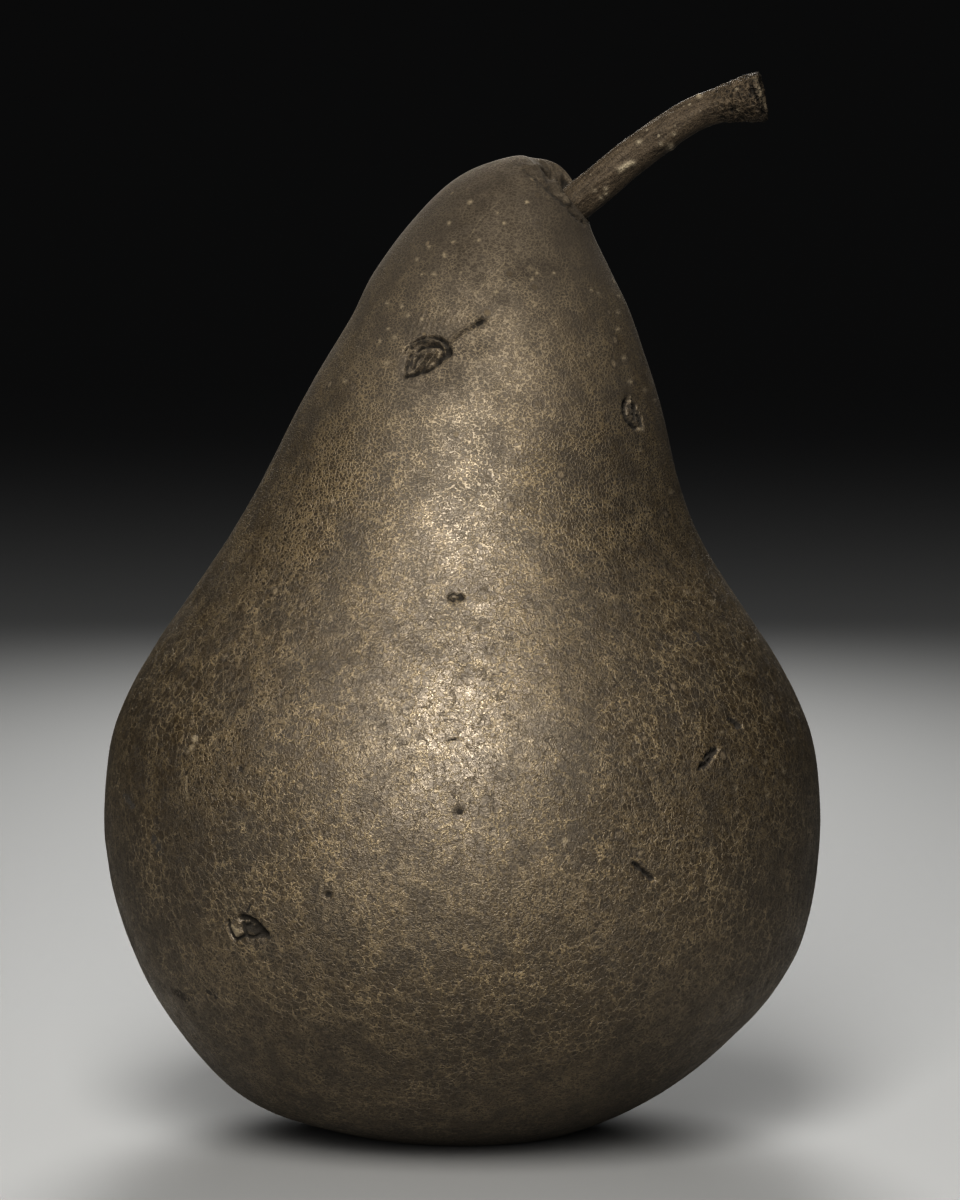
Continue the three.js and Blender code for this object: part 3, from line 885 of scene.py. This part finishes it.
    micro = 1e-3 * mm
    rise = total(
        tree, times(tree, fine, spread(tree, neck, 0, 1, 1, 1.5), skin["fineHeight"] * micro),
        times(tree, coarse, skin["coarseHeight"] * micro),
        times(tree, grain, skin["grainHeight"] * micro), times(tree, dot, skin["dotRise"] * micro),
        times(tree, blemish, -skin["blemishDepth"] * micro))
    bump = addNode(tree, "Bump", {"Height": rise, "Distance": 1.0, "Strength": 1.0})
    tree.links.new(bump.outputs["Normal"], shader.inputs["Normal"])
    shine = calc(tree, "MAXIMUM", fine, coarse)
    rough = total(
        tree, times(tree, shine, skin["roughRidge"] - skin["roughPit"]), skin["roughPit"],
        times(tree, mottle, spread(tree, neck, 0, 1, -0.45, -0.25)),
        times(tree, mattAndShaded, 0.25), times(tree, crown, 0.15), times(tree, fromMiddle, -0.15),
        times(tree, dot, 0.2), times(tree, blemish, 0.14), times(tree, markDark, 0.6),
        times(tree, markPale, 0.2))
    tree.links.new(rough, shader.inputs["Roughness"])
    shader.inputs["Specular IOR Level"].default_value = skin["shine"]
    shader.inputs["IOR"].default_value = skin["gloss"]
    shader.inputs["Specular Tint"].default_value = (*skin["shineTint"], 1)
    return material


bark = {
    "ground": (0.022, 0.016, 0.010),
    "pale": (0.125, 0.098, 0.066),
    "dark": (0.005, 0.004, 0.003),
    "lichen": (0.32, 0.28, 0.21),
    "fibreRise": 90,  # heights in thousandths of a millimetre
    "fineRise": 50,
    "scaleRise": 120,
    "dotRise": 40,
}


def makeBark():
    material, tree, shader = newMaterial("stem bark")
    grain = addNode(tree, "Attribute", attribute_name="grain").outputs["Vector"]
    flare = layerOf(tree, "flare").outputs["Fac"]
    fibre = noiseAt(tree, stretched(tree, grain, (1, 1, 0.16)), 3.2, 4.0, 0.62).outputs["Fac"]
    blotch = noiseAt(tree, grain, 0.8, 3.0, 0.6).outputs["Fac"]
    fine = noiseAt(tree, grain, 7.0, 3.0, 0.6).outputs["Fac"]
    scaly = cellsAt(tree, shifted(tree, grain, 0.5, 1.6), 1.9, "DISTANCE_TO_EDGE").outputs["Distance"]
    scale = times(tree, spread(tree, scaly, 0.02, 0.22, 1, 0), spread(tree, flare, 0.1, 0.9, 0.25, 1))
    tone = total(
        tree, times(tree, spread(tree, fibre, 0.35, 0.65), 0.35),
        times(tree, spread(tree, blotch, 0.3, 0.7), 0.2),
        times(tree, spread(tree, fine, 0.35, 0.65), 0.45))
    color = blendColor(tree, tone, bark["ground"], bark["pale"])
    color = blendColor(tree, times(tree, scale, 0.45), color, bark["pale"])
    between = times(tree, spread(tree, scaly, 0.12, 0.4), spread(tree, flare, 0.2, 0.9))
    color = blendColor(tree, times(tree, between, 0.8), color, bark["dark"])
    dots = cellsAt(tree, grain, 0.9)
    lot = addNode(tree, "SeparateColor", {0: dots.outputs["Color"]}).outputs
    dotSize = spread(tree, lot[0], 0.5, 1.0, 0.0, 0.22)
    dot = spread(tree, calc(tree, "SUBTRACT", dots.outputs["Distance"], dotSize), -0.05, 0.05, 1, 0)
    color = blendColor(tree, times(tree, dot, 0.4), color, bark["lichen"])
    pale = times(tree, layerOf(tree, "markPale").outputs["Fac"], spread(tree, fine, 0.3, 0.6, 0.4, 1))
    color = blendColor(tree, pale, color, bark["lichen"])
    color = blendColor(tree, layerOf(tree, "markDark").outputs["Fac"], color, bark["dark"])
    tree.links.new(color, shader.inputs["Base Color"])
    micro = 1e-3 * mm
    rise = total(
        tree, times(tree, fibre, bark["fibreRise"] * micro), times(tree, fine, bark["fineRise"] * micro),
        times(tree, scale, bark["scaleRise"] * micro), times(tree, dot, bark["dotRise"] * micro))
    bump = addNode(tree, "Bump", {"Height": rise, "Distance": 1.0, "Strength": 1.0})
    tree.links.new(bump.outputs["Normal"], shader.inputs["Normal"])
    tree.links.new(spread(tree, fibre, 0.2, 0.8, 0.8, 0.6), shader.inputs["Roughness"])
    shader.inputs["Specular IOR Level"].default_value = 0.35
    return material


driedLeaf = {
    "dark": (0.022, 0.015, 0.009),
    "brown": (0.1, 0.066, 0.036),
    "vein": (0.17, 0.12, 0.07),
    "rise": 80,  # thousandths of a millimetre
}


def makeDriedLeaf():
    material, tree, shader = newMaterial("dried calyx")
    position = addNode(tree, "TexCoord").outputs["Object"]
    place = addNode(tree, "VectorMath", {0: position, "Scale": 1 / mm}, operation="SCALE").outputs[0]
    blotch = noiseAt(tree, place, 1.4, 4.0, 0.6).outputs["Fac"]
    vein = noiseAt(tree, stretched(tree, place, (1, 1, 0.25)), 5.0, 3.0, 0.6).outputs["Fac"]
    color = blendColor(tree, spread(tree, blotch, 0.35, 0.7), driedLeaf["dark"], driedLeaf["brown"])
    color = blendColor(tree, times(tree, spread(tree, vein, 0.5, 0.75), 0.5), color, driedLeaf["vein"])
    tree.links.new(color, shader.inputs["Base Color"])
    rise = times(tree, total(tree, blotch, vein), driedLeaf["rise"] * 1e-3 * mm)
    bump = addNode(tree, "Bump", {"Height": rise, "Distance": 1.0, "Strength": 1.0})
    tree.links.new(bump.outputs["Normal"], shader.inputs["Normal"])
    tree.links.new(spread(tree, blotch, 0.3, 0.7, 0.95, 0.75), shader.inputs["Roughness"])
    return material


# The studio: a floor that curves up into a wall all round, pale in the middle and darkened away from it by a
# painted fall-off of light, tall soft lights in front and behind, and soft light from everywhere
studio = {
    "floorColor": (0.3, 0.297, 0.29),
    # painted fall-off of light: the floor's colour far from the middle
    "paintedFalloffColor": (0.06, 0.06, 0.06),
    "worldColor": (0.96, 0.98, 1.0),
    "worldStrength": 0.24,
    "floorRadius": 1.5,
    "curve": 0.8,
    "wallTop": 1.2,
    "sides": 96,
    "turns": 16,
    "farFrom": (0.35, 1.3),  # distances between which the floor darkens
    "lightsAim": (0, 0, 0.05),
    "gamma": 0.6,
    "key": {"place": (-0.05, -0.48, 0.385), "size": (0.2, 0.8), "power": 3.75, "spread": 105},
    "rear": {"place": (0.0, 0.56, 0.36), "size": (0.2, 0.5), "power": 0.9, "spread": 70},
}


def makeFloor():
    profile = [(radius, 0.0) for radius in (0.25, 0.6, studio["floorRadius"])]
    turns = studio["turns"]
    for i in range(1, turns + 1):
        angle = math.pi / 2 * i / turns
        profile.append((studio["floorRadius"] + studio["curve"] * math.sin(angle),
                        studio["curve"] * (1 - math.cos(angle))))
    profile.append((profile[-1][0], studio["wallTop"]))
    sides = studio["sides"]
    points = [(0, 0, 0)]
    for radius, height in profile:
        for j in range(sides):
            angle = 2 * math.pi * j / sides
            points.append((radius * math.cos(angle), radius * math.sin(angle), height))
    faces = []
    for j in range(sides):
        k = (j + 1) % sides
        faces.append((0, 1 + j, 1 + k))
        for i in range(len(profile) - 1):
            low = 1 + i * sides
            faces.append((low + j, low + sides + j, low + sides + k, low + k))
    mesh = bpy.data.meshes.new("floor")
    mesh.from_pydata(points, [], faces)
    mesh.shade_smooth()
    floor = bpy.data.objects.new("floor", mesh)
    bpy.context.scene.collection.objects.link(floor)
    material, tree, shader = newMaterial("pale floor")
    place = addNode(tree, "TexCoord").outputs["Object"]
    away = addNode(tree, "VectorMath", {0: place}, operation="LENGTH").outputs["Value"]
    # painted fall-off of light: the colour goes from pale near the middle to dark at the wall
    color = blendColor(tree, spread(tree, away, *studio["farFrom"]), studio["floorColor"], studio["paintedFalloffColor"])
    tree.links.new(color, shader.inputs["Base Color"])
    shader.inputs["Roughness"].default_value = 0.85
    mesh.materials.append(material)
    return floor


def addLight(name):
    facts = studio[name]
    data = bpy.data.lights.new(name, "AREA")
    data.shape = "RECTANGLE"
    data.size, data.size_y = facts["size"]
    data.energy = facts["power"]
    data.spread = math.radians(facts["spread"])
    light = bpy.data.objects.new(name, data)
    light.location = facts["place"]
    light.visible_camera = False
    away = Vector(facts["place"]) - Vector(studio["lightsAim"])
    light.rotation_euler = away.to_track_quat("Z", "Y").to_euler()
    bpy.context.scene.collection.objects.link(light)


def lightWorld():
    world = bpy.data.worlds.new("world")
    world.use_nodes = True
    background = world.node_tree.nodes["Background"]
    background.inputs["Color"].default_value = (*studio["worldColor"], 1)
    background.inputs["Strength"].default_value = studio["worldStrength"]
    bpy.context.scene.world = world


fruitPiece = makeFruit()
fruitPiece.data.materials.append(makeSkin())
print("fruit made", len(fruitPiece.data.polygons), "faces")
stemPiece = makeStem()
stemPiece.data.materials.append(makeBark())
print("stem made", len(stemPiece.data.polygons), "faces")
calyxPiece = makeCalyx()
calyxPiece.data.materials.append(makeDriedLeaf())
print("calyx made", len(calyxPiece.data.polygons), "faces")

for piece, node, slot in (
        (fruitPiece, "fruit", "skin"), (stemPiece, "stem", "stem"), (calyxPiece, "calyx", "calyx")):
    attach(piece, "root")
    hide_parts(node)

floor = makeFloor()
addLight("key")
addLight("rear")
lightWorld()
bpy.context.scene.view_settings.view_transform = "Standard"
bpy.context.scene.view_settings.gamma = studio["gamma"]
print("studio lit")
